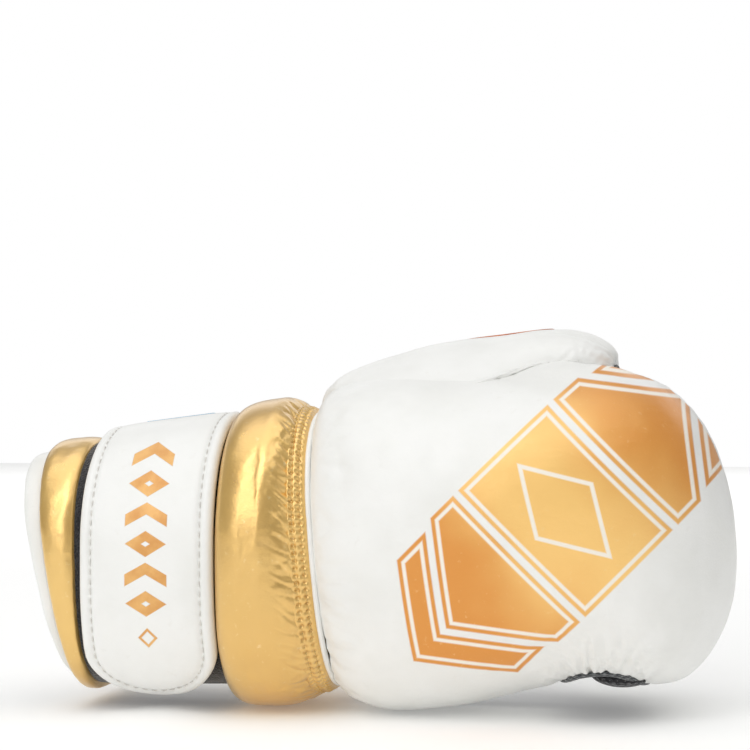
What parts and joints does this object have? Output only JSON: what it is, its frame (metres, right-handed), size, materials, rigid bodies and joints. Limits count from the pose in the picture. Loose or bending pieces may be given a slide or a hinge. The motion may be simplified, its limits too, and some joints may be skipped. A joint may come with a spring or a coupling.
{
  "type": "open-hand sparring glove",
  "caption": "Padded open-hand sparring glove for the right hand: shell over the back, hood over the fingers, thumb stall, mesh palm, rolled cuff and hook-and-loop wrist strap.",
  "frame": {"origin": "bottom centre of the glove's box as it lies on its little-finger edge", "axes": "+X from the wrist to the fingers, +Z towards the thumb side, -Y towards the back of the hand"},
  "size_m": [0.2592, 0.114, 0.1403],
  "materials": {
    "white_leather": "satin, fine grain",
    "gold_leather": "metallic satin",
    "foam": "closed-cell foam",
    "black_mesh": "spacer mesh with light dots",
    "black_fabric": "matt knit",
    "elastic": "ribbed elastic",
    "loop_pile": "fuzzy loop pile",
    "hook_tape": "small plastic hooks",
    "copper_print": "metallic print on leather",
    "blue_label": "woven label"
  },
  "bodies": {
    "hand": {"back_cover": "white_leather", "back_foam": "foam", "back_lining": "black_mesh", "back_binding": "black_mesh", "palm_panel": "black_mesh", "palm_hem": "black_mesh"},
    "fingers": {"hood_cover": "white_leather", "hood_foam": "foam", "hood_lining": "black_mesh", "hood_binding": "black_mesh", "hood_gusset": "black_mesh", "finger_loop": "elastic"},
    "thumb": {"thumb_cover": "white_leather", "thumb_foam": "foam", "thumb_lining": "black_fabric", "thumb_binding": "black_mesh", "thumb_badge": "copper_print", "thumb_badge_ring": "copper_print"},
    "cuff": {"roll_welt": "gold_leather", "roll_cover": "gold_leather", "roll_foam": "foam", "cuff_shell": "white_leather", "cuff_foam": "foam", "pile_band": "loop_pile", "end_roll_cover": "gold_leather", "end_roll_foam": "foam", "mouth_roll": "white_leather", "cuff_lining": "black_fabric", "neck_sleeve": "gold_leather", "strap_base": "white_leather", "strap_label": "blue_label"},
    "strap": {"strap_flap": "white_leather", "hook_patch": "hook_tape"}
  },
  "joints": [
    {"name": "finger_flex", "type": "hinge", "parent": "hand", "child": "fingers", "pos_m": [0.0736, -0.05753, 0.06001], "axis": [0, 0, -1], "range_deg": [0, 12], "stiffness_Nm_per_rad": 3},
    {"name": "thumb_flex", "type": "hinge", "parent": "hand", "child": "thumb", "pos_m": [-0.0114, 0.01387, 0.10801], "axis": [0, -1, 0], "range_deg": [0, 8], "stiffness_Nm_per_rad": 2},
    {"name": "wrist_flex", "type": "hinge", "parent": "hand", "child": "cuff", "pos_m": [-0.0149, -0.00313, 0.05501], "axis": [0, 0, 1], "range_deg": [-8, 8], "stiffness_Nm_per_rad": 3, "deforming": ["neck_sleeve"]},
    {"name": "strap_peel", "type": "hinge", "parent": "cuff", "child": "strap", "pos_m": [-0.0764, -0.00433, 0.10591], "axis": [-0.9922, 0, -0.125], "range_deg": [0, 100]}
  ]
}
